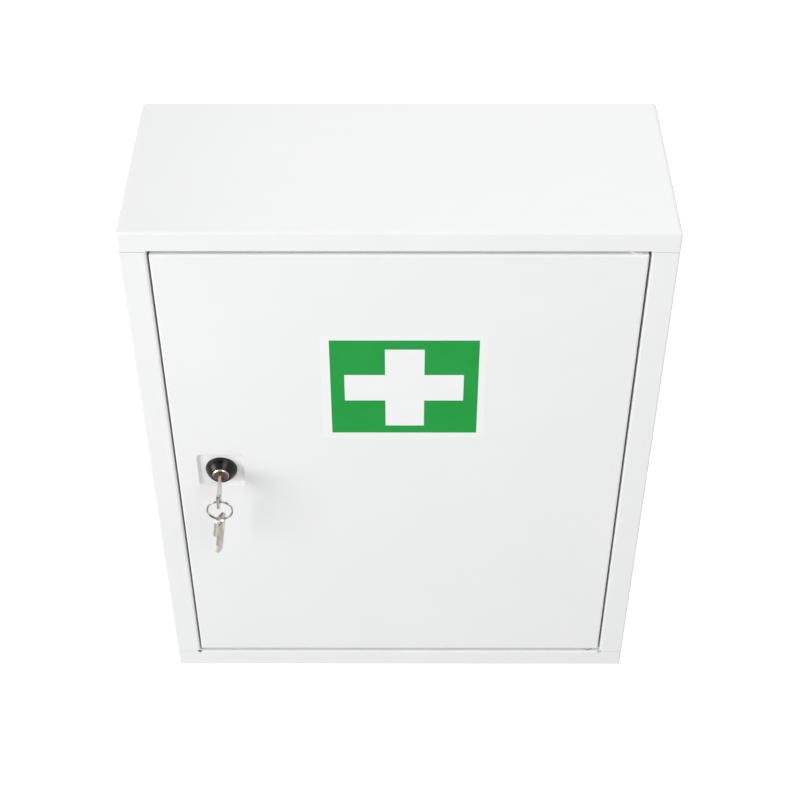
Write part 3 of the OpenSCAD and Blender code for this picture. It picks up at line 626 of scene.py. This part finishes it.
CAP_RISE = 0.9 * MM
CAP_WALL = 0.2 * MM                      # height of its straight side
CAP_BEVEL = 0.7 * MM                     # width of its bevel
CAP_MARGIN = 0.05 * MM                   # by how much the plug is wider
CAP_SINK = 0.02 * MM                     # how deep its foot lies in the plug
CAP_SIDES = 72
SLOT_LEFT, SLOT_RIGHT = -1.25 * MM, 2.0 * MM
SLOT_BOTTOM, SLOT_TOP = -3.75 * MM, 3.75 * MM


def slot_reach(across, upward):
    """How far the key slot's wall is from the plug's axis in a direction."""
    reaches = []
    if round(across, 6):
        reaches.append((SLOT_RIGHT if across > 0 else SLOT_LEFT) / across)
    if round(upward, 6):
        reaches.append((SLOT_TOP if upward > 0 else SLOT_BOTTOM) / upward)
    return min(reaches)


def make_plug_cap():
    """A bevelled nickel cap on the plug's face, with a slot for the key; its face and slot are in
    nickel painted dark as shade, while its side and bevel keep the bright nickel.
    """
    low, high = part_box("lock_plug")
    centre = Vector(((low.x + high.x) / 2, low.y, (low.z + high.z) / 2))
    outer = (high.x - low.x) / 2 - CAP_MARGIN
    corners = [math.atan2(z, x) for x in (SLOT_LEFT, SLOT_RIGHT) for z in (SLOT_BOTTOM, SLOT_TOP)]
    angles = sorted([math.tau * k / CAP_SIDES - math.pi for k in range(CAP_SIDES)] + corners)
    mesh = bmesh.new()
    loops = []
    for a in angles:
        across, upward = math.cos(a), math.sin(a)
        slot = slot_reach(across, upward)
        section = [(outer, CAP_SINK), (outer, -CAP_WALL), (outer - CAP_BEVEL, -CAP_RISE),
                   (slot, -CAP_RISE), (slot, CAP_SINK)]
        loops.append([mesh.verts.new(centre + Vector((r * across, y, r * upward)))
                      for r, y in section])
    for one, two in zip(loops, loops[1:] + loops[:1]):
        for i in range(len(section)):
            j = (i + 1) % len(section)
            face = mesh.faces.new((one[i], one[j], two[j], two[i]))
            face.smooth = i == 0                        # the straight side
            # The face and the slot take the nickel painted dark: painted shade and painted dark
            # reflection.
            face.material_index = 1 if i < 2 else 0     # bright on the side and the bevel
    new_piece("plug_cap", mesh, "plug", "warm_nickel", warm_nickel, rim_nickel)


make_split_ring()
make_plug_cap()
make_barrel_thread()
make_weld_marks()


# ---- Floor and light ----

FLOOR_REACH = 60         # metres to each side, so that its edge lies at the horizon
FLOOR_GLOW = 0.30        # light that the floor throws up on the cabinet
FLOOR_SEEN = 0.90        # what the camera sees of its own light
FLOOR_DARK, FLOOR_PALE = (0.30, 0.30, 0.30), (0.32, 0.32, 0.32)
SKY_GLOW = 0.55          # light from all round
SKY_GAP = 0.04           # light from the dim patch overhead
SKY_SEEN = 1.0           # the sky as the camera sees it, so bright that no horizon shows
GAP_TOWARD = (-0.08, -0.30, 0.95)        # where the dim patch is
GAP_OUTER, GAP_INNER = 0.90, 0.975       # cosines of the angles where it begins and is full
SOFTBOXES = {            # place, point it looks at, side in metres, watts
    "left_light": ((-1.9, -1.3, 0.8), (0, 0, 0.25), 1.2, 31),
    "front_light": ((0.9, -1.5, 1.8), (0, 0, 0.3), 1.2, 11),
    "right_light": ((1.0, -0.6, 2.0), (0, 0, 0.3), 1.2, 4.5),
    "back_light": ((0.2, 0.9, 1.7), (0, 0, 0.4), 1.4, 8.2),
}


def add_floor():
    """A plain pale floor that runs out of sight."""
    mesh = bmesh.new()
    bmesh.ops.create_grid(mesh, x_segments=4, y_segments=4, size=FLOOR_REACH)
    data = bpy.data.meshes.new("floor")
    mesh.to_mesh(data)
    mesh.free()
    floor = bpy.data.objects.new("floor", data)
    floor.location.z = cad_low.z
    bpy.context.scene.collection.objects.link(floor)
    material, tree, shader = new_finish("studio_floor", Roughness=0.9)
    shader.inputs["Emission Color"].default_value = (1, 1, 1, 1)
    seen = put(tree, "ShaderNodeLightPath").outputs["Is Camera Ray"]
    glow = spread(tree, seen, 0, 1, FLOOR_GLOW, FLOOR_SEEN)
    tree.links.new(glow, shader.inputs["Emission Strength"])
    patch = noise(tree, object_place(tree), scale=3.0, detail=3.0)
    tree.links.new(blended_colour(tree, patch, FLOOR_DARK, FLOOR_PALE), shader.inputs["Base Color"])
    data.materials.append(material)


def add_softbox(name, place, target, side, power):
    """A square area light that looks at a point."""
    data = bpy.data.lights.new(name, "AREA")
    data.shape = "SQUARE"
    data.size = side
    data.energy = power
    light = bpy.data.objects.new(name, data)
    light.location = place
    light.rotation_euler = (Vector(target) - Vector(place)).to_track_quat("-Z", "Y").to_euler()
    bpy.context.scene.collection.objects.link(light)


def add_sky():
    """White light from all round, dimmer in a patch overhead where the softboxes leave a gap."""
    world = bpy.data.worlds.new("studio")
    world.use_nodes = True
    tree = world.node_tree
    background = tree.nodes["Background"]
    background.inputs["Color"].default_value = (1, 1, 1, 1)
    direction = put(tree, "ShaderNodeTexCoord").outputs["Generated"]
    nearness = put(tree, "ShaderNodeVectorMath", {0: direction, 1: GAP_TOWARD},
                   operation="DOT_PRODUCT").outputs["Value"]
    glow = spread(tree, nearness, GAP_OUTER, GAP_INNER, SKY_GLOW, SKY_GAP)
    seen = put(tree, "ShaderNodeLightPath").outputs["Is Camera Ray"]
    tree.links.new(spread(tree, seen, 0, 1, glow, SKY_SEEN), background.inputs["Strength"])
    bpy.context.scene.world = world


add_floor()
add_sky()
for light_name, light_settings in SOFTBOXES.items():
    add_softbox(light_name, *light_settings)
bpy.context.scene.view_settings.view_transform = "Standard"
